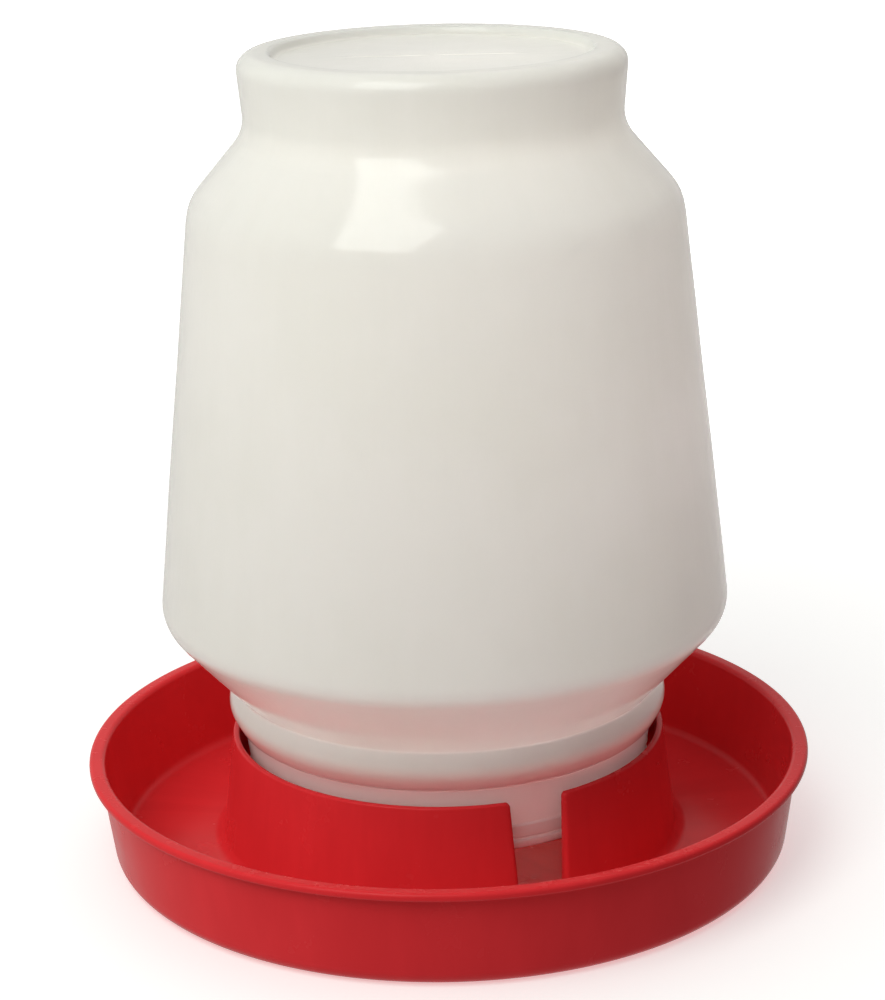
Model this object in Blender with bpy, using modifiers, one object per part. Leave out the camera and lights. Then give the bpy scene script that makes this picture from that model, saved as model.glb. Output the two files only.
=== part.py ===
"""Poultry waterer fount: a one gallon jar stands mouth down in the collar of a round drinking tray.

Metres, +Z up. The origin is the centre of the tray's foot. -Y is the front, and the collar's notch
lies a little to the right of it. The jar lifts straight up out of the collar, and a short turn
hooks its lugs under the collar's.
"""

import math

import bmesh
import bpy
from mathutils import Matrix, Vector

SIDES = 60
ARC_STEP = math.radians(30)
MERGE = 0.00001
FIT_GAP = 0.0003

# Tray
RIM_RADIUS = 0.1150
RIM_HEIGHT = 0.0330
RIM_THICKNESS = 0.0025
WALL_RADIUS_TOP = 0.1119
WALL_RADIUS_FOOT = 0.1079
WALL_THICKNESS = 0.0019
FOOT_ROUND = 0.0055
FOOT_RING_INNER = 0.0960
FOOT_RECESS = 0.0008
FLOOR_TOP = 0.0026
FLOOR_EDGE_ROUND = 0.0030
RIM_INNER_ROUND = 0.0018
RIM_EDGE_ROUND = 0.0012
RIM_UNDER_ROUND = 0.0008
RIM_ROOT_ROUND = 0.0005

# Collar of the tray
COLLAR_HEIGHT = 0.0385
COLLAR_RADIUS_TOP = 0.0688
COLLAR_RADIUS_FOOT = 0.0733
COLLAR_BORE_TOP = 0.0669
COLLAR_BORE_FOOT = 0.0695
COLLAR_FOOT_ROUND = 0.0040
COLLAR_TOP_ROUND = 0.0008
BORE_TOP_ROUND = 0.0006
BORE_FOOT_ROUND = 0.0010

# Notch in the collar: it lets water and air pass between the mouth and the trough
NOTCH_ANGLE = math.radians(22.6)
NOTCH_WIDTH_TOP = 0.0172
NOTCH_WIDTH_FOOT = 0.0146
NOTCH_CORNER_ROUND = 0.0016
NOTCH_CORNER_STEPS = 4
NOTCH_CUT_ABOVE = 0.0040
NOTCH_SILL = FLOOR_TOP + 0.0003
NOTCH_CUT_MIDDLE = 0.0700
NOTCH_CUT_DEPTH = 0.0160

# Ribs that the mouth rests on, and the lugs of the quarter turn lock
MOUTH_HEIGHT = 0.0210
RIB_COUNT = 4
RIB_INNER = 0.0585
RIB_OUTER = 0.0692
RIB_WIDTH = 0.0024
LUG_COUNT = 3
LUG_SPAN = math.radians(26)
LUG_ROOT_OVERLAP = 0.0008
LOCK_TURN = math.radians(45)
COLLAR_LUG_ANGLE = math.radians(65)
COLLAR_LUG_INNER = 0.0649
COLLAR_LUG_BOTTOM = 0.0291
COLLAR_LUG_TOP = 0.0321
JAR_LUG_OUTER = 0.0664
JAR_LUG_BOTTOM = 0.0038
JAR_LUG_TOP = 0.0074
JAR_LUG_STEP = 0.0001

# Jar: heights are above its mouth
JAR_WALL = 0.0015
JAR_HEIGHT = 0.2330
TOP_RECESS_DEPTH = 0.0024
TOP_RECESS_RADIUS = 0.0470
TOP_RECESS_ROUND = 0.0020
TOP_RIM_INNER = 0.0486
TOP_RIM_ROUND = 0.0016
DRUM_RADIUS_TOP = 0.0588
DRUM_TOP_ROUND = 0.0052
DRUM_RADIUS_WAIST = 0.0568
WAIST_HEIGHT = 0.2098
WAIST_ROUND = 0.0117
SHOULDER_RADIUS = 0.0749
SHOULDER_HEIGHT = 0.1887
SHOULDER_ROUND = 0.0184
BODY_RADIUS = 0.0895
BODY_BOTTOM = 0.0594
BODY_BOTTOM_ROUND = 0.0092
NECK_TOP_RADIUS = 0.0665
NECK_TOP = 0.0343
NECK_RADIUS = 0.0651
NECK_FOOT_RADIUS = 0.0635
GROOVE_HEIGHT = 0.0222
GROOVE_STEP = 0.0012
LIP_RADIUS = 0.0640
LIP_HEIGHT = 0.0028
LIP_CHAMFER = 0.0005
LIP_GROOVE_DEPTH = 0.0009
MOUTH_RADIUS = 0.0620

# Bead round the neck
BEAD_RADIUS = 0.0703
BEAD_EDGE_RADIUS = 0.0674
BEAD_FOOT_RADIUS = 0.0670
BEAD_BOTTOM = 0.0226
BEAD_TOP = 0.0347
BEAD_ROUND = 0.0062
BEAD_EDGE_DROP = 0.0004


def arc_points(before, corner, after, radius):
    """The points of a fillet of this radius between the two straight stretches that meet at corner."""
    to_before = (before - corner).normalized()
    to_after = (after - corner).normalized()
    half = to_before.angle(to_after) / 2
    centre = corner + (to_before + to_after).normalized() * radius / math.sin(half)
    start = corner + to_before * radius / math.tan(half) - centre
    end = corner + to_after * radius / math.tan(half) - centre
    first = math.atan2(start.y, start.x)
    sweep = (math.atan2(end.y, end.x) - first + math.pi) % math.tau - math.pi
    count = max(2, math.ceil(abs(sweep) / ARC_STEP))
    angles = [first + sweep * i / count for i in range(count + 1)]
    return [centre + radius * Vector((math.cos(a), math.sin(a))) for a in angles]


def rounded(corners):
    """A polyline through corners given as (radius, height) or (radius, height, fillet radius)."""
    spots = [Vector(corner[:2]) for corner in corners]
    points = []
    for i, corner in enumerate(corners):
        if len(corner) == 2:
            points.append(spots[i])
        else:
            points += arc_points(spots[i - 1], spots[i], spots[(i + 1) % len(spots)], corner[2])
    return points


def inset(corners, depth):
    """The same corners moved by depth to the right of their direction, as a wall's inner face is."""
    spots = [Vector(corner[:2]) for corner in corners]
    moved = []
    for i, corner in enumerate(corners):
        into = (spots[i] - spots[i - 1]) if i else (spots[1] - spots[0])
        out = (spots[i + 1] - spots[i]) if i + 1 < len(spots) else into
        right_in = Vector((into.y, -into.x)).normalized()
        right_out = Vector((out.y, -out.x)).normalized()
        mitre = (right_in + right_out) / (1 + right_in.dot(right_out))
        spot = spots[i] + mitre * depth
        if len(corner) == 2:
            moved.append((spot.x, spot.y))
            continue
        turns_right = into.x * out.y - into.y * out.x < 0
        moved.append((spot.x, spot.y, corner[2] + (-depth if turns_right else depth)))
    return moved


def new_collection(name):
    collection = bpy.data.collections.new(name)
    bpy.context.scene.collection.children.link(collection)
    return collection


def new_object(name, mesh, collection, parent=None):
    obj = bpy.data.objects.new(name, mesh)
    obj.parent = parent
    collection.objects.link(obj)
    return obj


def new_helper(name, mesh, parent=None):
    obj = new_object(name, mesh, helpers, parent)
    obj.hide_render = True
    obj.display_type = "WIRE"
    return obj


def plastic(name, colour, roughness):
    material = bpy.data.materials.new(name)
    material.use_nodes = True
    shader = material.node_tree.nodes["Principled BSDF"]
    shader.inputs["Base Color"].default_value = (*colour, 1.0)
    shader.inputs["Roughness"].default_value = roughness
    shader.inputs["Metallic"].default_value = 0.0
    return material


def profile_mesh(name, points, closed):
    """A line of edges in the XZ plane."""
    edges = [(i, i + 1) for i in range(len(points) - 1)]
    if closed:
        edges.append((len(points) - 1, 0))
    mesh = bpy.data.meshes.new(name)
    mesh.from_pydata([(p.x, 0.0, p.y) for p in points], edges, [])
    return mesh


def turned(name, points, parent=None, closed=False):
    """A turned piece: its profile with a Screw modifier round Z."""
    obj = new_object(name, profile_mesh(name, points, closed), parts, parent)
    screw = obj.modifiers.new("turn", "SCREW")
    screw.axis = "Z"
    screw.steps = SIDES
    screw.render_steps = SIDES
    screw.use_merge_vertices = True
    screw.merge_threshold = MERGE
    screw.use_smooth_shade = True
    return obj


def flat_plate(name, outline, thickness, parent=None):
    """A plate of this thickness whose outline, in X and Z, is centred on Y = 0."""
    mesh = bpy.data.meshes.new(name)
    mesh.from_pydata([(x, 0.0, z) for x, z in outline], [], [range(len(outline))])
    obj = new_helper(name, mesh, parent)
    solidify = obj.modifiers.new("thickness", "SOLIDIFY")
    solidify.thickness = thickness
    solidify.offset = 0.0
    solidify.use_even_offset = True
    return obj


def ring_sector(name, inner, outer, bottom, top, middle, span, parent=None):
    """A piece of a ring of rectangular section, centred on the angle middle."""
    shape = bmesh.new()
    turn = Matrix.Rotation(middle - span / 2, 3, "Z")
    section = [(inner, bottom), (outer, bottom), (outer, top), (inner, top)]
    verts = [shape.verts.new(turn @ Vector((r, 0.0, z))) for r, z in section]
    face = shape.faces.new(verts)
    steps = max(2, round(span / (math.tau / SIDES)))
    axis = (0.0, 0.0, 1.0)
    centre = (0.0, 0.0, 0.0)
    bmesh.ops.spin(
        shape, geom=[face, *face.edges, *face.verts], cent=centre, axis=axis, angle=span, steps=steps
    )
    bmesh.ops.recalc_face_normals(shape, faces=shape.faces)
    mesh = bpy.data.meshes.new(name)
    shape.to_mesh(mesh)
    shape.free()
    return new_helper(name, mesh, parent)


def boolean(obj, other, operation):
    modifier = obj.modifiers.new(other.name, "BOOLEAN")
    modifier.operation = operation
    modifier.object = other
    modifier.solver = "EXACT"


def azimuth(angle):
    """An angle measured to the right of the front, as an angle round +Z from +X."""
    return angle - math.pi / 2


def tray_profile():
    wall_inner_top = WALL_RADIUS_TOP - WALL_THICKNESS
    wall_inner_foot = WALL_RADIUS_FOOT - WALL_THICKNESS
    return rounded([
        (0.0, FLOOR_TOP),
        (COLLAR_BORE_FOOT, FLOOR_TOP, BORE_FOOT_ROUND),
        (COLLAR_BORE_TOP, COLLAR_HEIGHT, BORE_TOP_ROUND),
        (COLLAR_RADIUS_TOP, COLLAR_HEIGHT, COLLAR_TOP_ROUND),
        (COLLAR_RADIUS_FOOT, FLOOR_TOP, COLLAR_FOOT_ROUND),
        (wall_inner_foot, FLOOR_TOP, FLOOR_EDGE_ROUND),
        (wall_inner_top, RIM_HEIGHT, RIM_INNER_ROUND),
        (RIM_RADIUS, RIM_HEIGHT, RIM_EDGE_ROUND),
        (RIM_RADIUS, RIM_HEIGHT - RIM_THICKNESS, RIM_UNDER_ROUND),
        (WALL_RADIUS_TOP, RIM_HEIGHT - RIM_THICKNESS, RIM_ROOT_ROUND),
        (WALL_RADIUS_FOOT, 0.0, FOOT_ROUND),
        (FOOT_RING_INNER, 0.0),
        (FOOT_RING_INNER - FOOT_RECESS, FOOT_RECESS),
        (0.0, FOOT_RECESS),
    ])


def notch_outline():
    """Half of it is mirrored. It widens over the collar's top so that the notch's corners come out round."""
    top_half = NOTCH_WIDTH_TOP / 2
    round_start = COLLAR_HEIGHT - NOTCH_CORNER_ROUND
    half = [(NOTCH_WIDTH_FOOT / 2, NOTCH_SILL)]
    for i in range(NOTCH_CORNER_STEPS + 1):
        angle = math.pi / 2 * i / NOTCH_CORNER_STEPS
        across = top_half + NOTCH_CORNER_ROUND * (1 - math.cos(angle))
        half.append((across, round_start + NOTCH_CORNER_ROUND * math.sin(angle)))
    half.append((half[-1][0], COLLAR_HEIGHT + NOTCH_CUT_ABOVE))
    return half + [(-x, z) for x, z in reversed(half)]


def make_tray(material):
    tray = turned("drinker_base", tray_profile())
    tray.data.materials.append(material)

    notch = flat_plate("notch_cutter", notch_outline(), NOTCH_CUT_DEPTH)
    notch.rotation_euler.z = NOTCH_ANGLE
    notch.location = Matrix.Rotation(azimuth(NOTCH_ANGLE), 3, "Z") @ Vector((NOTCH_CUT_MIDDLE, 0.0, 0.0))
    boolean(tray, notch, "DIFFERENCE")

    rib_top = MOUTH_HEIGHT - FIT_GAP
    rib_bottom = (FOOT_RECESS + FLOOR_TOP) / 2
    rib_outline = [
        (RIB_INNER, rib_bottom),
        (RIB_OUTER, rib_bottom),
        (RIB_OUTER, rib_top),
        (RIB_INNER, rib_top),
    ]
    for i in range(RIB_COUNT):
        rib = flat_plate(f"mouth_rib_{i + 1}", rib_outline, RIB_WIDTH)
        rib.rotation_euler.z = azimuth(NOTCH_ANGLE) + math.tau * (i + 0.5) / RIB_COUNT
        boolean(tray, rib, "UNION")

    for i in range(LUG_COUNT):
        middle = azimuth(COLLAR_LUG_ANGLE) + math.tau * i / LUG_COUNT
        lug = ring_sector(
            f"collar_lug_{i + 1}",
            COLLAR_LUG_INNER,
            COLLAR_BORE_TOP + LUG_ROOT_OVERLAP,
            COLLAR_LUG_BOTTOM,
            COLLAR_LUG_TOP,
            middle,
            LUG_SPAN,
        )
        boolean(tray, lug, "UNION")
    return tray


def jar_profile():
    """From the top's centre down the outside to the mouth, and back up the inside."""
    shell = [
        (0.0, JAR_HEIGHT - TOP_RECESS_DEPTH),
        (TOP_RECESS_RADIUS, JAR_HEIGHT - TOP_RECESS_DEPTH, TOP_RECESS_ROUND),
        (TOP_RIM_INNER, JAR_HEIGHT, TOP_RIM_ROUND),
        (DRUM_RADIUS_TOP, JAR_HEIGHT, DRUM_TOP_ROUND),
        (DRUM_RADIUS_WAIST, WAIST_HEIGHT, WAIST_ROUND),
        (SHOULDER_RADIUS, SHOULDER_HEIGHT, SHOULDER_ROUND),
        (BODY_RADIUS, BODY_BOTTOM, BODY_BOTTOM_ROUND),
        (NECK_TOP_RADIUS, NECK_TOP),
        (NECK_TOP_RADIUS, GROOVE_HEIGHT),
    ]
    neck = [
        (NECK_RADIUS, GROOVE_HEIGHT - GROOVE_STEP),
        (NECK_FOOT_RADIUS, JAR_LUG_TOP),
        (LIP_RADIUS, JAR_LUG_TOP - LIP_CHAMFER),
        (LIP_RADIUS, JAR_LUG_BOTTOM),
        (LIP_RADIUS - LIP_GROOVE_DEPTH, LIP_HEIGHT + LIP_CHAMFER),
        (LIP_RADIUS, LIP_HEIGHT - LIP_CHAMFER),
        (LIP_RADIUS, LIP_CHAMFER),
        (LIP_RADIUS - LIP_CHAMFER, 0.0),
    ]
    bore = [
        (MOUTH_RADIUS, 0.0),
        (MOUTH_RADIUS, JAR_LUG_TOP),
        (NECK_RADIUS - JAR_WALL, GROOVE_HEIGHT - GROOVE_STEP),
    ]
    return rounded(shell + neck + bore) + rounded(inset(shell, JAR_WALL))[::-1]


def make_jar(material, turn_axis):
    jar = turned("jar", jar_profile(), turn_axis)
    jar.data.materials.append(material)
    for i in range(LUG_COUNT):
        middle = azimuth(COLLAR_LUG_ANGLE) + LOCK_TURN + math.tau * i / LUG_COUNT
        lug = ring_sector(
            f"jar_lug_{i + 1}",
            LIP_RADIUS - LUG_ROOT_OVERLAP,
            JAR_LUG_OUTER,
            JAR_LUG_BOTTOM + JAR_LUG_STEP,
            JAR_LUG_TOP - JAR_LUG_STEP,
            middle,
            LUG_SPAN,
            turn_axis,
        )
        boolean(jar, lug, "UNION")
    return jar


def make_bead(material, lift_axis):
    """The bead round the jar's neck. It lifts with the jar and is round about its axis."""
    bead_middle = (BEAD_BOTTOM + BEAD_TOP) / 2
    inner = NECK_TOP_RADIUS + FIT_GAP
    outline = [
        (inner, BEAD_TOP - BEAD_EDGE_DROP),
        (BEAD_EDGE_RADIUS, BEAD_TOP),
        (BEAD_RADIUS, bead_middle, BEAD_ROUND),
        (BEAD_FOOT_RADIUS, BEAD_BOTTOM),
        (inner, BEAD_BOTTOM),
    ]
    bead = turned("jar_neck_bead", rounded(outline), lift_axis, closed=True)
    bead.data.materials.append(material)
    return bead


for old in list(bpy.data.objects):
    bpy.data.objects.remove(old, do_unlink=True)

parts = new_collection("poultry_waterer_fount")
helpers = new_collection("cutters_and_joined_shapes")

red_plastic = plastic("red_tray_plastic", (0.56, 0.012, 0.016), 0.32)
milky_plastic = plastic("milky_jar_plastic", (0.80, 0.79, 0.74), 0.36)
milky_bead_plastic = plastic("milky_bead_plastic", (0.74, 0.68, 0.64), 0.36)

jar_lift_axis = new_object("jar_lift_axis", None, parts)
jar_lift_axis.location.z = MOUTH_HEIGHT
jar_turn_axis = new_object("jar_turn_axis", None, parts, jar_lift_axis)

make_tray(red_plastic)
make_bead(milky_bead_plastic, jar_lift_axis)
make_jar(milky_plastic, jar_turn_axis)
bpy.context.view_layer.update()
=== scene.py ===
"""Looks for the poultry waterer fount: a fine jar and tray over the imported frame, with their light.

Metres, in the frame's own axes: +Z up, -Y to the front. Sizes come from the frame's boxes and from the
named values below, which say where the moulded detail lies.
"""

import math

import bmesh
import bpy
from mathutils import Matrix, Vector, noise


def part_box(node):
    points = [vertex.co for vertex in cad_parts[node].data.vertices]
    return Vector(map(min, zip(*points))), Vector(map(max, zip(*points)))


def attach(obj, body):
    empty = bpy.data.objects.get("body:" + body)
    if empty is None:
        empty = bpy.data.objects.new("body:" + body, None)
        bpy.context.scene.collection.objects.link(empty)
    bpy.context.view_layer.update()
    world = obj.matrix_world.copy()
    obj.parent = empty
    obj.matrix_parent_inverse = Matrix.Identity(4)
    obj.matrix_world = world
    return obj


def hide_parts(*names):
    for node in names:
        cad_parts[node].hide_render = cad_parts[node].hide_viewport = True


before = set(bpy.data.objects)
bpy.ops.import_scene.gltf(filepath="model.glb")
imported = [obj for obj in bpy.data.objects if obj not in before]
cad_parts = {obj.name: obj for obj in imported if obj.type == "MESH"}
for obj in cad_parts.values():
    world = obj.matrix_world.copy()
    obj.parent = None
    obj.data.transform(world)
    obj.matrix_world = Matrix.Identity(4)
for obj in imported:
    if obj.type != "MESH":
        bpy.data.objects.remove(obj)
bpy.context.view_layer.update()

tray_low, tray_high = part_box("drinker_base")
jar_low, jar_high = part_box("jar")
bead_low, bead_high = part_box("jar_neck_bead")

# Turned surfaces
JAR_SIDES = 288
TRAY_SIDES = 360
ARC_STEP = math.radians(9)
MM = 0.001
OUTLINE_STEP = 4.0 * MM
TRAY_SHARP_ANGLE = math.radians(35)
JAR_SHARP_ANGLE = math.radians(40)

# Tray, from the frame's box and its own mouldings
RIM_RADIUS = tray_high.x
COLLAR_HEIGHT = tray_high.z
RIM_HEIGHT = 33.0 * MM
RIM_THICKNESS = 2.5 * MM
WALL_RADIUS_TOP = RIM_RADIUS - 3.1 * MM
WALL_RADIUS_FOOT = RIM_RADIUS - 7.1 * MM
WALL_THICKNESS = 1.9 * MM
FOOT_ROUND = 5.5 * MM
FOOT_RING_INNER = 96.0 * MM
FOOT_RECESS = 0.8 * MM
FLOOR_TOP = 2.6 * MM
COLLAR_RADIUS_TOP = 68.8 * MM
COLLAR_RADIUS_FOOT = 73.3 * MM
COLLAR_BORE_TOP = 66.9 * MM
COLLAR_BORE_FOOT = 69.5 * MM
COLLAR_FOOT_ROUND = 4.0 * MM
COLLAR_FOOT_LEAN = 0.88
BORE_FOOT_ROUND = 1.0 * MM
GATE_RADIUS = 3.0 * MM
GATE_DEPTH = 0.4 * MM

# Notch in the collar
NOTCH_ANGLE = math.radians(22.6)
NOTCH_WIDTH_TOP = 17.2 * MM
NOTCH_WIDTH_FOOT = 14.6 * MM
NOTCH_CORNER_ROUND = 1.6 * MM
NOTCH_SILL = FLOOR_TOP + 0.06 * MM
NOTCH_OUTER_EDGE = 1.3 * MM
NOTCH_INNER_EDGE = 0.4 * MM
NOTCH_EDGE_STEPS = 6
NOTCH_REACH = 4.0 * MM

# Ribs under the mouth and the lugs of the lock
MOUTH_HEIGHT = jar_low.z
RIB_COUNT = 4
RIB_INNER = 58.5 * MM
RIB_OUTER = 69.2 * MM
RIB_WIDTH = 2.4 * MM
RIB_EDGE = 0.35 * MM
FIT_GAP = 0.3 * MM
LUG_COUNT = 3
LUG_STEPS = 26
LUG_SPAN = math.radians(26)
LUG_RUN_OUT = math.radians(2.5)
LUG_EDGE = 0.3 * MM
LUG_ROOT = 0.8 * MM
LUG_END_POWER = 14
LOCK_TURN = math.radians(45)
COLLAR_LUG_ANGLE = math.radians(65)
COLLAR_LUG_INNER = 64.9 * MM
COLLAR_LUG_BOTTOM = 29.1 * MM
COLLAR_LUG_TOP = 32.1 * MM
JAR_LUG_OUTER = 66.4 * MM
JAR_LUG_BOTTOM = 3.8 * MM
JAR_LUG_TOP = 7.4 * MM

# Jar: heights are above its mouth
JAR_WALL = 1.5 * MM
JAR_HEIGHT = jar_high.z - jar_low.z
TOP_RECESS_DEPTH = 2.4 * MM
TOP_RECESS_RADIUS = 47.0 * MM
TOP_RIM_INNER = 48.6 * MM
DRUM_RADIUS_TOP = 58.8 * MM
DRUM_RADIUS_WAIST = 56.8 * MM
WAIST_HEIGHT = 209.8 * MM
SHOULDER_RADIUS = 74.9 * MM
SHOULDER_HEIGHT = 188.7 * MM
BODY_RADIUS = 89.5 * MM
BODY_BOTTOM = 59.4 * MM
NECK_TOP_RADIUS = 67.2 * MM
BEAD_RADIUS = 70.3 * MM
BEAD_FOOT_RADIUS = 67.0 * MM
BEAD_TOP = bead_high.z - jar_low.z
BEAD_BOTTOM = bead_low.z - jar_low.z
NECK_RADIUS = 65.1 * MM
NECK_FOOT_RADIUS = 63.5 * MM
LIP_RADIUS = 64.0 * MM
LIP_HEIGHT = 2.8 * MM
MOUTH_RADIUS = 62.0 * MM
GROOVE_HEIGHT = BEAD_BOTTOM - 1.3 * MM

# The blow mould's marks on the jar
SEAM_ANGLE = 0.0
SEAM_HEIGHT = 0.12 * MM
SEAM_WIDTH = 0.35 * MM
SEAM_CLEARING = math.radians(0.9)
SEAM_OFFSETS = (0.0, 0.15, 0.35, 0.75)
PINCH_REACH = 24.0 * MM
PINCH_RISE = 1.3
WAVE_SCALE = 24.0
WAVE_DEPTH = 0.12 * MM
WAVE_FADE = 12.0 * MM
FINE_WAVE_SCALE = 2.3

# Plastics
MILKY_WHITES = ((0.85, 0.865, 0.81, 1.0), (0.88, 0.895, 0.845, 1.0))
MILKY_DEPTH = 4.0 * MM
# Painted light: the neck's pink tint stands for the red light that the red base throws onto and through the
# neck
NECK_PAINTED_RED_LIGHT = (0.62, 0.34, 0.37, 1.0)
NECK_PAINTED_RED_LIGHT_MOST = 0.74
NECK_PAINTED_RED_LIGHT_REACH = 5.0 * MM
DUST = (0.62, 0.58, 0.50, 1.0)
MOULDED_REDS = ((0.72, 0.026, 0.032, 1.0), (0.78, 0.030, 0.037, 1.0))
WORN_RED = (0.80, 0.06, 0.06, 1.0)

# Studio
CAMERA_SPOT = Vector((0.0, -0.7813, 0.3613))
CAMERA_PITCH = 0.308
CAMERA_ROLL = -0.024
CAMERA_LENS = 94.2
FLOOR_REACH = 8.0
FLOOR_GAP = 0.1 * MM
FLOOR_GLOW = (0.44, 0.88)
FLOOR_GLOW_NEAR = 0.12
FLOOR_GLOW_FAR = 0.9
BACKDROP_STRENGTH = 1.0
# Light from each side: strength and tint
SURROUNDINGS = {
    ("X", -1): (0.62, (0.98, 1.0, 0.95)),
    ("X", 1): (0.11, (1.0, 0.66, 0.78)),
    ("Y", -1): (0.16, (1.0, 0.97, 0.95)),
    ("Y", 1): (1.08, (1.0, 0.99, 0.95)),
    ("Z", -1): (1.05, (1.0, 0.88, 0.90)),
    ("Z", 1): (0.52, (1.0, 1.0, 0.97)),
}
GLOSS_SHARE = 0.6
# Balls of light inside the jar: spot, radius, power and colour
GLOWS = {
    "drum_glow": ((12.0 * MM, -6.0 * MM, 216.0 * MM), 22.0 * MM, 0.067, (1.0, 0.94, 0.90)),
    "body_glow": ((32.0 * MM, -4.0 * MM, 140.0 * MM), 30.0 * MM, 0.080, (1.0, 0.85, 0.88)),
}
FOOT_GLOW_HEIGHT = 88.0 * MM
FOOT_GLOW_RADIUS = 62.0 * MM
FOOT_GLOW_POWER = 0.055
FOOT_GLOW_COLOUR = (1.0, 0.84, 0.84)
MOUTH_SHADE_COLOUR = (0.38, 0.0, 0.0, 1.0)
MOUTH_SHADE_GAP = 1.0 * MM
MOUTH_SHADE_LIFT = 2.0 * MM
# Softboxes: angle right of the front, elevation, distance, size, power and colour
KEY_SOFTBOX = (-30.0, 48.0, 1.15, (0.68, 0.88), 5.4, (0.97, 1.0, 0.95))
TRAY_FILL = (-58.0, 34.0, 1.0, (0.6, 0.4), 2.4, (1.0, 1.0, 1.0))
SOFTBOX_AIM = 0.55


def azimuth(angle):
    """An angle measured to the right of the front, as an angle round +Z from +X."""
    return angle - math.pi / 2


# ---- Outlines ------------------------------------------------------------------------------------


def arc_points(before, corner, after, radius):
    """The points of a fillet of this radius between the two straight stretches that meet at corner."""
    to_before = (before - corner).normalized()
    to_after = (after - corner).normalized()
    half = to_before.angle(to_after) / 2
    centre = corner + (to_before + to_after).normalized() * radius / math.sin(half)
    start = corner + to_before * radius / math.tan(half) - centre
    end = corner + to_after * radius / math.tan(half) - centre
    first = math.atan2(start.y, start.x)
    sweep = (math.atan2(end.y, end.x) - first + math.pi) % math.tau - math.pi
    count = max(3, math.ceil(abs(sweep) / ARC_STEP))
    angles = [first + sweep * i / count for i in range(count + 1)]
    return [centre + radius * Vector((math.cos(a), math.sin(a))) for a in angles]


def rounded(corners):
    """A polyline through corners given as (radius, height) or (radius, height, fillet radius)."""
    spots = [Vector(corner[:2]) for corner in corners]
    points = []
    for i, corner in enumerate(corners):
        if len(corner) == 2:
            points.append(spots[i])
        else:
            points += arc_points(spots[i - 1], spots[i], spots[(i + 1) % len(spots)], corner[2])
    return points


def inset(points, depth):
    """The same polyline moved by depth to the right of its direction, as a wall's inner face is."""
    moved = []
    for i, point in enumerate(points):
        before = points[max(i - 1, 0)]
        after = points[min(i + 1, len(points) - 1)]
        along = (after - before).normalized()
        moved.append(point + Vector((along.y, -along.x)) * depth)
    return moved


def filled_in(points, step):
    """The polyline with its long stretches divided, so that no two points lie more than step apart."""
    dense = [points[0]]
    for before, after in zip(points, points[1:]):
        count = max(1, math.ceil((after - before).length / step))
        dense += [before.lerp(after, (i + 1) / count) for i in range(count)]
    return dense


# ---- Meshes --------------------------------------------------------------------------------------


def add_object(name, mesh):
    obj = bpy.data.objects.new(name, mesh)
    bpy.context.scene.collection.objects.link(obj)
    return obj


def turned_mesh(name, points, angles, shape=None):
    """A closed body turned from an outline whose two ends lie on the axis. shape moves each point."""
    sides = len(angles)
    verts = [(0.0, 0.0, points[0].y)]
    for point in points[1:-1]:
        for angle in angles:
            spot = Vector((point.x * math.cos(angle), point.x * math.sin(angle), point.y))
            verts.append(shape(spot, angle) if shape else spot)
    verts.append((0.0, 0.0, points[-1].y))
    rings = len(points) - 2
    last = len(verts) - 1
    faces = []
    for k in range(sides):
        after = (k + 1) % sides
        faces.append((0, 1 + k, 1 + after))
        for ring in range(rings - 1):
            upper = 1 + ring * sides
            lower = upper + sides
            faces.append((upper + k, lower + k, lower + after, upper + after))
        bottom = 1 + (rings - 1) * sides
        faces.append((bottom + k, last, bottom + after))
    mesh = bpy.data.meshes.new(name)
    mesh.from_pydata(verts, [], faces)
    return mesh


def loft_mesh(name, sections):
    """A closed body through rings of points of equal length, capped at both ends."""
    count = len(sections[0])
    verts = [spot for section in sections for spot in section]
    faces = [tuple(range(count))[::-1]]
    for ring in range(len(sections) - 1):
        for k in range(count):
            after = (k + 1) % count
            start = ring * count
            faces.append((start + k, start + after, start + count + after, start + count + k))
    top = (len(sections) - 1) * count
    faces.append(tuple(range(top, top + count)))
    mesh = bpy.data.meshes.new(name)
    mesh.from_pydata(verts, [], faces)
    return mesh


def outward_faces(mesh):
    shape = bmesh.new()
    shape.from_mesh(mesh)
    bmesh.ops.recalc_face_normals(shape, faces=shape.faces)
    shape.to_mesh(mesh)
    shape.free()
    return mesh


def joined(obj, others, operation):
    """obj with the others joined to it or cut from it, as one mesh. The others are removed."""
    for other in others:
        modifier = obj.modifiers.new(other.name, "BOOLEAN")
        modifier.operation = operation
        modifier.object = other
        modifier.solver = "EXACT"
    graph = bpy.context.evaluated_depsgraph_get()
    result = bpy.data.meshes.new_from_object(obj.evaluated_get(graph), depsgraph=graph)
    obj.modifiers.clear()
    old = obj.data
    obj.data = result
    bpy.data.meshes.remove(old)
    for other in others:
        bpy.data.objects.remove(other, do_unlink=True)
    return obj


def shade(obj, sharp_angle):
    obj.data.shade_smooth()
    obj.data.set_sharp_from_angle(angle=sharp_angle)


# ---- Tray ----------------------------------------------------------------------------------------


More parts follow.
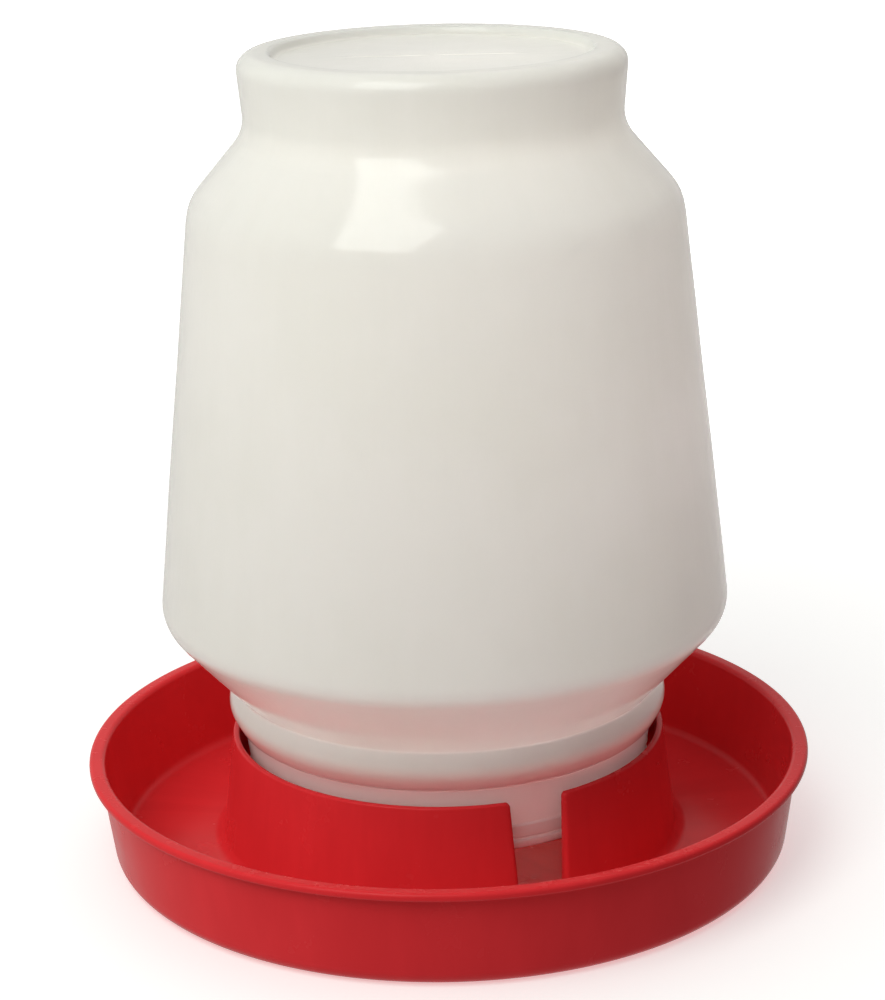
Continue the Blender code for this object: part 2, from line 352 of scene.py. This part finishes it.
def tray_outline():
    wall_inner_top = WALL_RADIUS_TOP - WALL_THICKNESS
    wall_inner_foot = WALL_RADIUS_FOOT - WALL_THICKNESS
    return rounded([
        (0.0, FLOOR_TOP),
        (COLLAR_BORE_FOOT, FLOOR_TOP, BORE_FOOT_ROUND),
        (COLLAR_BORE_TOP, COLLAR_HEIGHT, 0.6 * MM),
        (COLLAR_RADIUS_TOP, COLLAR_HEIGHT, 0.8 * MM),
        (COLLAR_RADIUS_FOOT, FLOOR_TOP, COLLAR_FOOT_ROUND),
        (wall_inner_foot, FLOOR_TOP, 3.0 * MM),
        (wall_inner_top, RIM_HEIGHT, 1.8 * MM),
        (RIM_RADIUS, RIM_HEIGHT, 1.2 * MM),
        (RIM_RADIUS, RIM_HEIGHT - RIM_THICKNESS, 0.8 * MM),
        (WALL_RADIUS_TOP, RIM_HEIGHT - RIM_THICKNESS, 0.5 * MM),
        (WALL_RADIUS_FOOT, 0.0, FOOT_ROUND),
        (FOOT_RING_INNER, 0.0, 0.3 * MM),
        (FOOT_RING_INNER - FOOT_RECESS, FOOT_RECESS, 0.3 * MM),
        (GATE_RADIUS + 0.5 * MM, FOOT_RECESS, 0.3 * MM),
        (GATE_RADIUS, FOOT_RECESS - GATE_DEPTH, 0.2 * MM),
        (0.0, FOOT_RECESS - GATE_DEPTH),
    ])


def collar_slope(height, foot_radius, top_radius):
    """The radius of one of the collar's straight sides at this height. Above its top it stays the same."""
    share = min((height - FLOOR_TOP) / (COLLAR_HEIGHT - FLOOR_TOP), 1.0)
    return foot_radius + (top_radius - foot_radius) * share


def collar_outside(height):
    """The collar's outer radius, with the fillet at its foot."""
    above_floor = height - FLOOR_TOP
    slope = collar_slope(height, COLLAR_RADIUS_FOOT, COLLAR_RADIUS_TOP)
    if above_floor > COLLAR_FOOT_ROUND:
        return slope
    drop = COLLAR_FOOT_ROUND - above_floor
    reach = COLLAR_FOOT_ROUND - math.sqrt(max(COLLAR_FOOT_ROUND**2 - drop**2, 0.0))
    return slope + reach * COLLAR_FOOT_LEAN


def notch_half_width(height):
    """Half the notch's width at this height. Its top corners are round."""
    share = (height - NOTCH_SILL) / (COLLAR_HEIGHT - NOTCH_SILL)
    half = (NOTCH_WIDTH_FOOT + (NOTCH_WIDTH_TOP - NOTCH_WIDTH_FOOT) * min(share, 1.0)) / 2
    into_round = height - (COLLAR_HEIGHT - NOTCH_CORNER_ROUND)
    if into_round <= 0.0:
        return half
    level = min(into_round / NOTCH_CORNER_ROUND, 1.0)
    return half + NOTCH_CORNER_ROUND * (1.0 - math.sqrt(1.0 - level**2))


def notch_section(height):
    """The notch's plan at this height. Its sides flare where they meet the collar's two faces."""
    half = notch_half_width(height)
    inner = collar_slope(height, COLLAR_BORE_FOOT, COLLAR_BORE_TOP)
    outer = collar_outside(height)
    inner_face = math.sqrt(inner**2 - (half + NOTCH_INNER_EDGE) ** 2)
    outer_face = math.sqrt(outer**2 - (half + NOTCH_OUTER_EDGE) ** 2)
    side = [(inner_face - NOTCH_REACH, half + NOTCH_INNER_EDGE)]
    for i in range(NOTCH_EDGE_STEPS + 1):
        turn = math.pi / 2 * i / NOTCH_EDGE_STEPS
        away = NOTCH_INNER_EDGE * (1.0 - math.sin(turn))
        side.append((inner_face + NOTCH_INNER_EDGE * (1.0 - math.cos(turn)), half + away))
    for i in range(NOTCH_EDGE_STEPS + 1):
        turn = math.pi / 2 * i / NOTCH_EDGE_STEPS
        away = NOTCH_OUTER_EDGE * (1.0 - math.cos(turn))
        side.append((outer_face - NOTCH_OUTER_EDGE * (1.0 - math.sin(turn)), half + away))
    side.append((outer_face + NOTCH_REACH, half + NOTCH_OUTER_EDGE))
    turned = Matrix.Rotation(azimuth(NOTCH_ANGLE), 3, "Z")
    plan = [(out, across) for out, across in side] + [(out, -across) for out, across in reversed(side)]
    return [turned @ Vector((out, across, height)) for out, across in plan]


def notch_cutter():
    foot_top = FLOOR_TOP + COLLAR_FOOT_ROUND
    round_start = COLLAR_HEIGHT - NOTCH_CORNER_ROUND
    levels = [NOTCH_SILL + (foot_top - NOTCH_SILL) * (i / 10) ** 1.5 for i in range(10)]
    levels += [foot_top + (round_start - foot_top) * i / 4 for i in range(4)]
    levels += [round_start + NOTCH_CORNER_ROUND * math.sin(math.pi / 2 * i / 8) for i in range(9)]
    levels.append(COLLAR_HEIGHT + NOTCH_REACH)
    return add_object("notch", outward_faces(loft_mesh("notch", [notch_section(z) for z in levels])))


def mouth_rib(angle):
    """A plate under the jar's mouth with its top edges rounded."""
    turned = Matrix.Rotation(angle, 3, "Z")
    top = MOUTH_HEIGHT - FIT_GAP
    levels = [
        (FLOOR_TOP / 2, 0.0),
        (top - RIB_EDGE, 0.0),
        (top - RIB_EDGE * 0.3, RIB_EDGE * 0.3),
        (top, RIB_EDGE),
    ]
    sections = []
    for height, shrink in levels:
        half = RIB_WIDTH / 2 - shrink
        inner = RIB_INNER + shrink
        plan = [(inner, -half), (RIB_OUTER, -half), (RIB_OUTER, half), (inner, half)]
        sections.append([turned @ Vector((out, across, height)) for out, across in plan])
    return add_object("mouth_rib", outward_faces(loft_mesh("mouth_rib", sections)))


def collar_lug(middle):
    """A short ledge round the inside of the collar whose ends run out into the wall."""
    root = COLLAR_BORE_TOP + LUG_ROOT
    sections = []
    for i in range(LUG_STEPS + 1):
        share = 2.0 * i / LUG_STEPS - 1.0
        rise = 1.0 - abs(share) ** LUG_END_POWER
        inner = COLLAR_BORE_TOP + FIT_GAP + (COLLAR_LUG_INNER - COLLAR_BORE_TOP - FIT_GAP) * rise
        turned = Matrix.Rotation(middle + share * LUG_SPAN / 2, 3, "Z")
        outline = [
            (root, COLLAR_LUG_BOTTOM),
            (inner + LUG_EDGE, COLLAR_LUG_BOTTOM),
            (inner, COLLAR_LUG_BOTTOM + LUG_EDGE),
            (inner, COLLAR_LUG_TOP - LUG_EDGE),
            (inner + LUG_EDGE, COLLAR_LUG_TOP),
            (root, COLLAR_LUG_TOP),
        ]
        sections.append([turned @ Vector((out, 0.0, height)) for out, height in outline])
    return add_object("collar_lug", outward_faces(loft_mesh("collar_lug", sections)))


def make_tray():
    outline = filled_in(tray_outline(), OUTLINE_STEP)
    angles = [math.tau * k / TRAY_SIDES for k in range(TRAY_SIDES)]
    tray = add_object("drinking_tray", outward_faces(turned_mesh("drinking_tray", outline, angles)))
    notch = azimuth(NOTCH_ANGLE)
    ribs = [mouth_rib(notch + math.tau * (i + 0.5) / RIB_COUNT) for i in range(RIB_COUNT)]
    first_lug = azimuth(COLLAR_LUG_ANGLE)
    lugs = [collar_lug(first_lug + math.tau * i / LUG_COUNT) for i in range(LUG_COUNT)]
    joined(tray, [notch_cutter()], "DIFFERENCE")
    joined(tray, ribs + lugs, "UNION")
    shade(tray, TRAY_SHARP_ANGLE)
    return tray


# ---- Jar -----------------------------------------------------------------------------------------


def jar_outline():
    """From the top's centre down the outside to the mouth, and back up the inside."""
    shell = [
        (0.0, JAR_HEIGHT - TOP_RECESS_DEPTH),
        (TOP_RECESS_RADIUS, JAR_HEIGHT - TOP_RECESS_DEPTH, 2.0 * MM),
        (TOP_RIM_INNER, JAR_HEIGHT, 1.6 * MM),
        (DRUM_RADIUS_TOP, JAR_HEIGHT, 5.2 * MM),
        (DRUM_RADIUS_WAIST, WAIST_HEIGHT, 11.7 * MM),
        (SHOULDER_RADIUS, SHOULDER_HEIGHT, 18.4 * MM),
        (BODY_RADIUS, BODY_BOTTOM, 9.2 * MM),
        (NECK_TOP_RADIUS, BEAD_TOP),
    ]
    bead_middle = (BEAD_TOP + BEAD_BOTTOM) / 2
    neck = [
        (BODY_RADIUS, BODY_BOTTOM),
        (NECK_TOP_RADIUS, BEAD_TOP, 0.9 * MM),
        (BEAD_RADIUS, bead_middle, 6.2 * MM),
        (BEAD_FOOT_RADIUS, BEAD_BOTTOM, 0.5 * MM),
        (NECK_RADIUS, GROOVE_HEIGHT, 0.8 * MM),
        (NECK_FOOT_RADIUS, JAR_LUG_TOP + 0.6 * MM, 0.5 * MM),
        (LIP_RADIUS, JAR_LUG_TOP),
        (LIP_RADIUS, JAR_LUG_TOP - 0.1 * MM),
        (LIP_RADIUS, JAR_LUG_BOTTOM + 0.1 * MM),
        (LIP_RADIUS, JAR_LUG_BOTTOM),
        (LIP_RADIUS - 0.9 * MM, LIP_HEIGHT + 0.5 * MM, 0.4 * MM),
        (LIP_RADIUS, LIP_HEIGHT - 0.3 * MM, 0.3 * MM),
        (LIP_RADIUS, 0.0, 0.6 * MM),
        (MOUTH_RADIUS, 0.0, 0.5 * MM),
        (MOUTH_RADIUS, JAR_LUG_TOP, 3.0 * MM),
        (NECK_RADIUS - JAR_WALL, GROOVE_HEIGHT, 1.5 * MM),
        (BEAD_RADIUS - JAR_WALL - 0.9 * MM, bead_middle, 4.6 * MM),
        (NECK_TOP_RADIUS - JAR_WALL, BEAD_TOP + 0.8 * MM, 2.4 * MM),
        (BODY_RADIUS - JAR_WALL, BODY_BOTTOM),
    ]
    outside = rounded(shell)[:-1]
    inside = inset(rounded(shell), JAR_WALL)[:-1]
    return outside + rounded(neck)[1:-1] + inside[::-1]


def lug_share(angle):
    """How much of a lug stands out at this angle: 1 along a lug, 0 between two."""
    first = azimuth(COLLAR_LUG_ANGLE) + LOCK_TURN
    pitch = math.tau / LUG_COUNT
    from_middle = abs((angle - first + pitch / 2) % pitch - pitch / 2)
    share = min(max((LUG_SPAN / 2 - from_middle) / LUG_RUN_OUT, 0.0), 1.0)
    return share * share * (3.0 - 2.0 * share)


def jar_shape(spot, angle):
    """A point of the jar moved by its lugs, the mould's parting line and the waves of a blown wall."""
    radius = math.hypot(spot.x, spot.y)
    out = Vector((math.cos(angle), math.sin(angle), 0.0))
    if JAR_LUG_BOTTOM < spot.z < JAR_LUG_TOP and radius > MOUTH_RADIUS + 1.0 * MM:
        return spot + out * (JAR_LUG_OUTER - LIP_RADIUS) * lug_share(angle)
    from_seam = spot.x * math.sin(SEAM_ANGLE) - spot.y * math.cos(SEAM_ANGLE)
    ridge = SEAM_HEIGHT * math.exp(-((from_seam / SEAM_WIDTH) ** 2))
    top_face = JAR_HEIGHT - TOP_RECESS_DEPTH
    if abs(spot.z - top_face) < 0.05 * MM and radius < PINCH_REACH:
        return spot + Vector((0.0, 0.0, ridge * PINCH_RISE))
    above_neck = min(max((spot.z - BEAD_TOP) / WAVE_FADE, 0.0), 1.0)
    below_top = min(max((JAR_HEIGHT - spot.z) / WAVE_FADE, 0.0), 1.0)
    wave = noise.noise(spot * WAVE_SCALE) + 0.5 * noise.noise(spot * WAVE_SCALE * FINE_WAVE_SCALE)
    on_outside = radius > TOP_RIM_INNER and spot.z > GROOVE_HEIGHT
    seam = ridge if on_outside else 0.0
    return spot + out * (wave * WAVE_DEPTH * above_neck * below_top + seam)


def jar_angles():
    """Evenly spaced angles, with closer ones beside the two parting lines."""
    angles = [math.tau * k / JAR_SIDES for k in range(JAR_SIDES)]
    for side in (SEAM_ANGLE, SEAM_ANGLE + math.pi):
        angles = [a for a in angles if abs((a - side + math.pi) % math.tau - math.pi) > SEAM_CLEARING]
        for off in SEAM_OFFSETS:
            signs = (-1, 1) if off else (1,)
            angles += [(side + sign * math.radians(off)) % math.tau for sign in signs]
    return sorted(angles)


def make_jar():
    outline = filled_in(jar_outline(), OUTLINE_STEP)
    mesh = turned_mesh("fount_jar", outline, jar_angles(), jar_shape)
    mesh.transform(Matrix.Translation((0.0, 0.0, MOUTH_HEIGHT)))
    jar = add_object("fount_jar", outward_faces(mesh))
    shade(jar, JAR_SHARP_ANGLE)
    return jar


# ---- Materials -----------------------------------------------------------------------------------


class Nodes:
    """A material's node tree, with short ways to add and join its nodes."""

    def __init__(self, name):
        self.material = bpy.data.materials.new(name)
        self.material.use_nodes = True
        self.tree = self.material.node_tree
        self.shader = self.tree.nodes["Principled BSDF"]
        self.spots = self.add("ShaderNodeTexCoord").outputs["Object"]

    def add(self, kind, **settings):
        node = self.tree.nodes.new(kind)
        for key, value in settings.items():
            setattr(node, key, value)
        return node

    def join(self, source, target):
        if hasattr(source, "is_output"):
            self.tree.links.new(source, target)
        else:
            target.default_value = source

    def math(self, operation, a, b=0.0):
        node = self.add("ShaderNodeMath", operation=operation)
        self.join(a, node.inputs[0])
        self.join(b, node.inputs[1])
        return node.outputs[0]

    def noise(self, spots, scale, detail=3.0, roughness=0.5):
        node = self.add("ShaderNodeTexNoise")
        self.join(spots, node.inputs["Vector"])
        node.inputs["Scale"].default_value = scale
        node.inputs["Detail"].default_value = detail
        node.inputs["Roughness"].default_value = roughness
        return node.outputs["Fac"]

    def level(self, value, low, high, to_low=0.0, to_high=1.0):
        """Maps low..high of value to to_low..to_high, held at both ends."""
        node = self.add("ShaderNodeMapRange", interpolation_type="SMOOTHSTEP")
        self.join(value, node.inputs["Value"])
        for key, number in (("From Min", low), ("From Max", high), ("To Min", to_low), ("To Max", to_high)):
            node.inputs[key].default_value = number
        return node.outputs["Result"]

    def mix(self, share, first, second):
        node = self.add("ShaderNodeMix", data_type="RGBA")
        self.join(share, node.inputs["Factor"])
        self.join(first, node.inputs[6])
        self.join(second, node.inputs[7])
        return node.outputs[2]

    def bump(self, height, strength, distance, normal=None):
        node = self.add("ShaderNodeBump")
        node.inputs["Strength"].default_value = strength
        node.inputs["Distance"].default_value = distance
        self.join(height, node.inputs["Height"])
        if normal is not None:
            self.join(normal, node.inputs["Normal"])
        return node.outputs["Normal"]

    def around(self, along):
        """Spots for a pattern drawn out along the axis, and the height: along scales the height in them."""
        apart = self.add("ShaderNodeSeparateXYZ")
        self.join(self.spots, apart.inputs[0])
        flat = self.add("ShaderNodeCombineXYZ")
        self.join(apart.outputs["X"], flat.inputs["X"])
        self.join(apart.outputs["Y"], flat.inputs["Y"])
        unit = self.add("ShaderNodeVectorMath", operation="NORMALIZE")
        self.join(flat.outputs[0], unit.inputs[0])
        lift = self.add("ShaderNodeCombineXYZ")
        self.join(self.math("MULTIPLY", apart.outputs["Z"], along), lift.inputs["Z"])
        total = self.add("ShaderNodeVectorMath", operation="ADD")
        self.join(unit.outputs[0], total.inputs[0])
        self.join(lift.outputs[0], total.inputs[1])
        return total.outputs[0], apart.outputs["Z"]


def milky_polyethylene():
    """Natural blow moulded polyethylene: thick cloudy white that lets some light through."""
    n = Nodes("milky_polyethylene")
    lengthwise, height = n.around(2.2)
    cloud = n.noise(n.spots, 16.0, 3.0, 0.55)
    streak = n.noise(lengthwise, 11.0, 4.0, 0.6)
    tone = n.math("ADD", n.math("MULTIPLY", cloud, 0.8), n.math("MULTIPLY", streak, 0.2))
    white = n.mix(n.level(tone, 0.36, 0.64), *MILKY_WHITES)
    # Painted red light on the neck: a pink tint, strongest from the groove down to the mouth, fading out
    # just above the bead
    painted_red_light_top = MOUTH_HEIGHT + BEAD_TOP + NECK_PAINTED_RED_LIGHT_REACH
    low = n.level(height, MOUTH_HEIGHT + GROOVE_HEIGHT, painted_red_light_top, NECK_PAINTED_RED_LIGHT_MOST, 0.0)
    with_painted_red_light = n.mix(n.math("MULTIPLY", low, low), white, NECK_PAINTED_RED_LIGHT)
    dust = n.noise(n.spots, 420.0, 5.0, 0.7)
    speck = n.level(dust, 0.70, 0.78)
    dusted = n.mix(n.math("MULTIPLY", speck, 0.12), with_painted_red_light, DUST)
    n.join(dusted, n.shader.inputs["Base Color"])
    haze = n.noise(n.spots, 55.0, 4.0, 0.6)
    n.join(n.level(haze, 0.3, 0.7, 0.08, 0.13), n.shader.inputs["Roughness"])
    peel = n.noise(n.spots, 520.0, 2.0, 0.5)
    soft = n.bump(n.noise(n.spots, 38.0, 2.0, 0.5), 0.25, 0.0005)
    lines = n.bump(n.noise(lengthwise, 46.0, 3.0, 0.55), 0.05, 0.0004, soft)
    n.join(n.bump(peel, 0.08, 0.0002, lines), n.shader.inputs["Normal"])
    n.material.diffuse_color = (0.85, 0.84, 0.80, 1.0)
    n.shader.subsurface_method = "RANDOM_WALK"
    n.shader.inputs["Subsurface Weight"].default_value = 1.0
    n.shader.inputs["Subsurface Radius"].default_value = (1.0, 1.0, 1.0)
    n.shader.inputs["Subsurface Scale"].default_value = MILKY_DEPTH
    n.shader.inputs["IOR"].default_value = 1.5
    return n.material


def red_polypropylene():
    """Injection moulded polypropylene with a satin gloss, faint flow marks and light handling wear."""
    n = Nodes("red_polypropylene")
    lengthwise, height = n.around(3.0)
    cloud = n.noise(n.spots, 14.0, 3.0, 0.55)
    flow = n.noise(lengthwise, 9.0, 4.0, 0.6)
    tone = n.math("ADD", n.math("MULTIPLY", cloud, 0.55), n.math("MULTIPLY", flow, 0.45))
    red = n.mix(n.level(tone, 0.35, 0.65), *MOULDED_REDS)
    rubbed = n.level(n.noise(n.spots, 180.0, 5.0, 0.7), 0.52, 0.74)
    near_rim = n.level(height, RIM_HEIGHT - 1.2 * MM, RIM_HEIGHT)
    below_rim = n.level(height, RIM_HEIGHT + 0.6 * MM, RIM_HEIGHT + 1.0 * MM, 1.0, 0.0)
    reach = n.add("ShaderNodeVectorMath", operation="LENGTH")
    n.join(n.spots, reach.inputs[0])
    out_there = n.level(reach.outputs["Value"], COLLAR_RADIUS_FOOT + 20.0 * MM, RIM_RADIUS)
    wear = n.math("MULTIPLY", n.math("MULTIPLY", rubbed, out_there), n.math("MULTIPLY", near_rim, below_rim))
    worn = n.mix(n.math("MULTIPLY", wear, 0.3), red, WORN_RED)
    n.join(worn, n.shader.inputs["Base Color"])
    haze = n.noise(n.spots, 60.0, 4.0, 0.6)
    satin = n.level(haze, 0.3, 0.7, 0.20, 0.28)
    n.join(n.math("ADD", satin, n.math("MULTIPLY", wear, 0.15)), n.shader.inputs["Roughness"])
    soft = n.bump(n.noise(n.spots, 45.0, 2.0, 0.5), 0.25, 0.0005)
    n.join(n.bump(n.noise(n.spots, 300.0, 2.0, 0.5), 0.04, 0.0002, soft), n.shader.inputs["Normal"])
    n.material.diffuse_color = (0.6, 0.02, 0.02, 1.0)
    n.shader.inputs["IOR"].default_value = 1.49
    n.shader.inputs["Specular IOR Level"].default_value = 0.13
    return n.material


def pale_floor():
    """A matt white light table, lit a little more from below away from the object."""
    n = Nodes("pale_floor")
    cloud = n.noise(n.spots, 3.0, 3.0, 0.5)
    n.join(n.mix(cloud, (0.86, 0.86, 0.86, 1.0), (0.88, 0.88, 0.88, 1.0)), n.shader.inputs["Base Color"])
    n.shader.inputs["Roughness"].default_value = 0.7
    n.shader.inputs["Specular IOR Level"].default_value = 0.2
    away = n.add("ShaderNodeVectorMath", operation="LENGTH")
    n.join(n.spots, away.inputs[0])
    glow = n.level(away.outputs["Value"], FLOOR_GLOW_NEAR, FLOOR_GLOW_FAR, *FLOOR_GLOW)
    n.shader.inputs["Emission Color"].default_value = (1.0, 1.0, 1.0, 1.0)
    n.join(glow, n.shader.inputs["Emission Strength"])
    return n.material


# ---- Studio --------------------------------------------------------------------------------------


def aimed(spot, target):
    """The matrix of a light at spot whose -Z points at target."""
    turn = (target - spot).to_track_quat("-Z", "Y")
    return Matrix.Translation(spot) @ turn.to_matrix().to_4x4()


def around_target(angle, elevation, distance, target):
    """The spot at this angle right of the front, elevation and distance from target."""
    flat = math.cos(elevation) * distance
    return target + Vector((math.sin(angle) * flat, -math.cos(angle) * flat, math.sin(elevation) * distance))


def softbox(name, angle, elevation, distance, size, power, colour):
    light = bpy.data.lights.new(name, "AREA")
    light.shape = "RECTANGLE"
    light.size, light.size_y = size
    light.energy = power
    light.color = colour
    target = Vector((0.0, 0.0, jar_high.z * SOFTBOX_AIM))
    lamp = add_object(name, light)
    spot = around_target(math.radians(angle), math.radians(elevation), distance, target)
    lamp.matrix_world = aimed(spot, target)
    lamp.visible_camera = False
    return lamp


def light_only(lamp, receiver):
    """Lets a lamp light one object alone, unseen by the camera and in reflections."""
    receivers = bpy.data.collections.new(lamp.name + "_receivers")
    receivers.objects.link(receiver)
    lamp.light_linking.receiver_collection = receivers
    for ray in ("camera", "glossy", "transmission"):
        setattr(lamp, f"visible_{ray}", False)


def make_floor():
    mesh = bpy.data.meshes.new("floor")
    shape = bmesh.new()
    bmesh.ops.create_grid(shape, x_segments=2, y_segments=2, size=FLOOR_REACH)
    shape.to_mesh(mesh)
    shape.free()
    floor = add_object("floor", mesh)
    floor.location.z = tray_low.z - FLOOR_GAP
    floor.data.materials.append(pale_floor())
    for ray in ("diffuse", "glossy", "transmission"):
        setattr(floor, f"visible_{ray}", False)


def make_world():
    """Soft light of its own strength and tint from each of the six sides, weaker in reflections."""
    world = bpy.data.worlds.new("studio")
    world.use_nodes = True
    tree = world.node_tree
    background = tree.nodes["Background"]

    def maths(operation, first, second):
        node = tree.nodes.new("ShaderNodeMath")
        node.operation = operation
        for socket, value in zip(node.inputs, (first, second)):
            if isinstance(value, float):
                socket.default_value = value
            else:
                tree.links.new(value, socket)
        return node.outputs[0]

    direction = tree.nodes.new("ShaderNodeTexCoord")
    apart = tree.nodes.new("ShaderNodeSeparateXYZ")
    tree.links.new(direction.outputs["Generated"], apart.inputs[0])
    total = None
    for (axis, sign), (strength, tint) in SURROUNDINGS.items():
        towards = maths("MAXIMUM", maths("MULTIPLY", apart.outputs[axis], float(sign)), 0.0)
        share = maths("MULTIPLY", towards, towards)
        side = tree.nodes.new("ShaderNodeVectorMath")
        side.operation = "SCALE"
        side.inputs[0].default_value = [strength * channel for channel in tint]
        tree.links.new(share, side.inputs["Scale"])
        if total is None:
            total = side.outputs[0]
            continue
        both = tree.nodes.new("ShaderNodeVectorMath")
        both.operation = "ADD"
        tree.links.new(total, both.inputs[0])
        tree.links.new(side.outputs[0], both.inputs[1])
        total = both.outputs[0]
    seen = tree.nodes.new("ShaderNodeLightPath")
    dimmed = tree.nodes.new("ShaderNodeVectorMath")
    dimmed.operation = "SCALE"
    tree.links.new(total, dimmed.inputs[0])
    dimmer = maths("MULTIPLY", seen.outputs["Is Glossy Ray"], 1.0 - GLOSS_SHARE)
    tree.links.new(maths("SUBTRACT", 1.0, dimmer), dimmed.inputs["Scale"])
    colour = tree.nodes.new("ShaderNodeMix")
    colour.data_type = "RGBA"
    tree.links.new(seen.outputs["Is Camera Ray"], colour.inputs["Factor"])
    tree.links.new(dimmed.outputs[0], colour.inputs[6])
    colour.inputs[7].default_value = (BACKDROP_STRENGTH, BACKDROP_STRENGTH, BACKDROP_STRENGTH, 1.0)
    tree.links.new(colour.outputs[2], background.inputs["Color"])
    bpy.context.scene.world = world


def make_inner_glows(jar):
    """The light inside the jar that has come through its milky wall: it falls on the jar alone."""
    lamps = []
    for name, (spot, radius, power, colour) in GLOWS.items():
        light = bpy.data.lights.new(name, "POINT")
        light.shadow_soft_size = radius
        light.energy = power
        light.color = colour
        lamps.append(add_object(name, light))
        lamps[-1].location = spot
    light = bpy.data.lights.new("foot_glow", "AREA")
    light.shape = "DISK"
    light.size = 2 * FOOT_GLOW_RADIUS
    light.energy = FOOT_GLOW_POWER
    light.color = FOOT_GLOW_COLOUR
    lamps.append(add_object("foot_glow", light))
    lamps[-1].location.z = FOOT_GLOW_HEIGHT
    for lamp in lamps:
        light_only(lamp, jar)


def make_mouth_shade():
    """A red filter across the mouth, met only by bounced light: it keeps the inner glows off the tray."""
    mesh = bpy.data.meshes.new("mouth_shade")
    shape = bmesh.new()
    bmesh.ops.create_circle(shape, cap_ends=True, segments=64, radius=MOUTH_RADIUS - MOUTH_SHADE_GAP)
    shape.to_mesh(mesh)
    shape.free()
    shade_disc = add_object("mouth_shade", mesh)
    shade_disc.location.z = MOUTH_HEIGHT + MOUTH_SHADE_LIFT
    filtering = bpy.data.materials.new("mouth_shade")
    filtering.use_nodes = True
    tree = filtering.node_tree
    clear = tree.nodes.new("ShaderNodeBsdfTransparent")
    clear.inputs["Color"].default_value = MOUTH_SHADE_COLOUR
    tree.links.new(clear.outputs[0], tree.nodes["Material Output"].inputs["Surface"])
    mesh.materials.append(filtering)
    for ray in ("camera", "glossy", "transmission", "shadow"):
        setattr(shade_disc, f"visible_{ray}", False)


def make_camera():
    """The camera in front of the object and above it, looking down a little and tilted slightly."""
    forward = Vector((0.0, math.cos(CAMERA_PITCH), -math.sin(CAMERA_PITCH)))
    right = Vector((1.0, 0.0, 0.0))
    up = right.cross(forward)
    right_tilted = right * math.cos(CAMERA_ROLL) + up * math.sin(CAMERA_ROLL)
    up_tilted = up * math.cos(CAMERA_ROLL) - right * math.sin(CAMERA_ROLL)
    data = bpy.data.cameras.new("camera")
    data.lens = CAMERA_LENS
    data.clip_start = 0.05
    data.clip_end = 50.0
    camera = add_object("camera", data)
    turn = Matrix((right_tilted, up_tilted, -forward)).transposed()
    camera.matrix_world = Matrix.Translation(CAMERA_SPOT) @ turn.to_4x4()
    bpy.context.scene.camera = camera


make_camera()
tray = make_tray()
tray.data.materials.clear()
tray.data.materials.append(red_polypropylene())
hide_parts("drinker_base")
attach(tray, "tray")

jar = make_jar()
jar.data.materials.append(milky_polyethylene())
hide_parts("jar", "jar_neck_bead")
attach(jar, "jar")

make_floor()
make_world()
softbox("key_softbox", *KEY_SOFTBOX)
make_inner_glows(jar)
make_mouth_shade()
light_only(softbox("tray_fill", *TRAY_FILL), tray)
bpy.context.scene.view_settings.view_transform = "Standard"
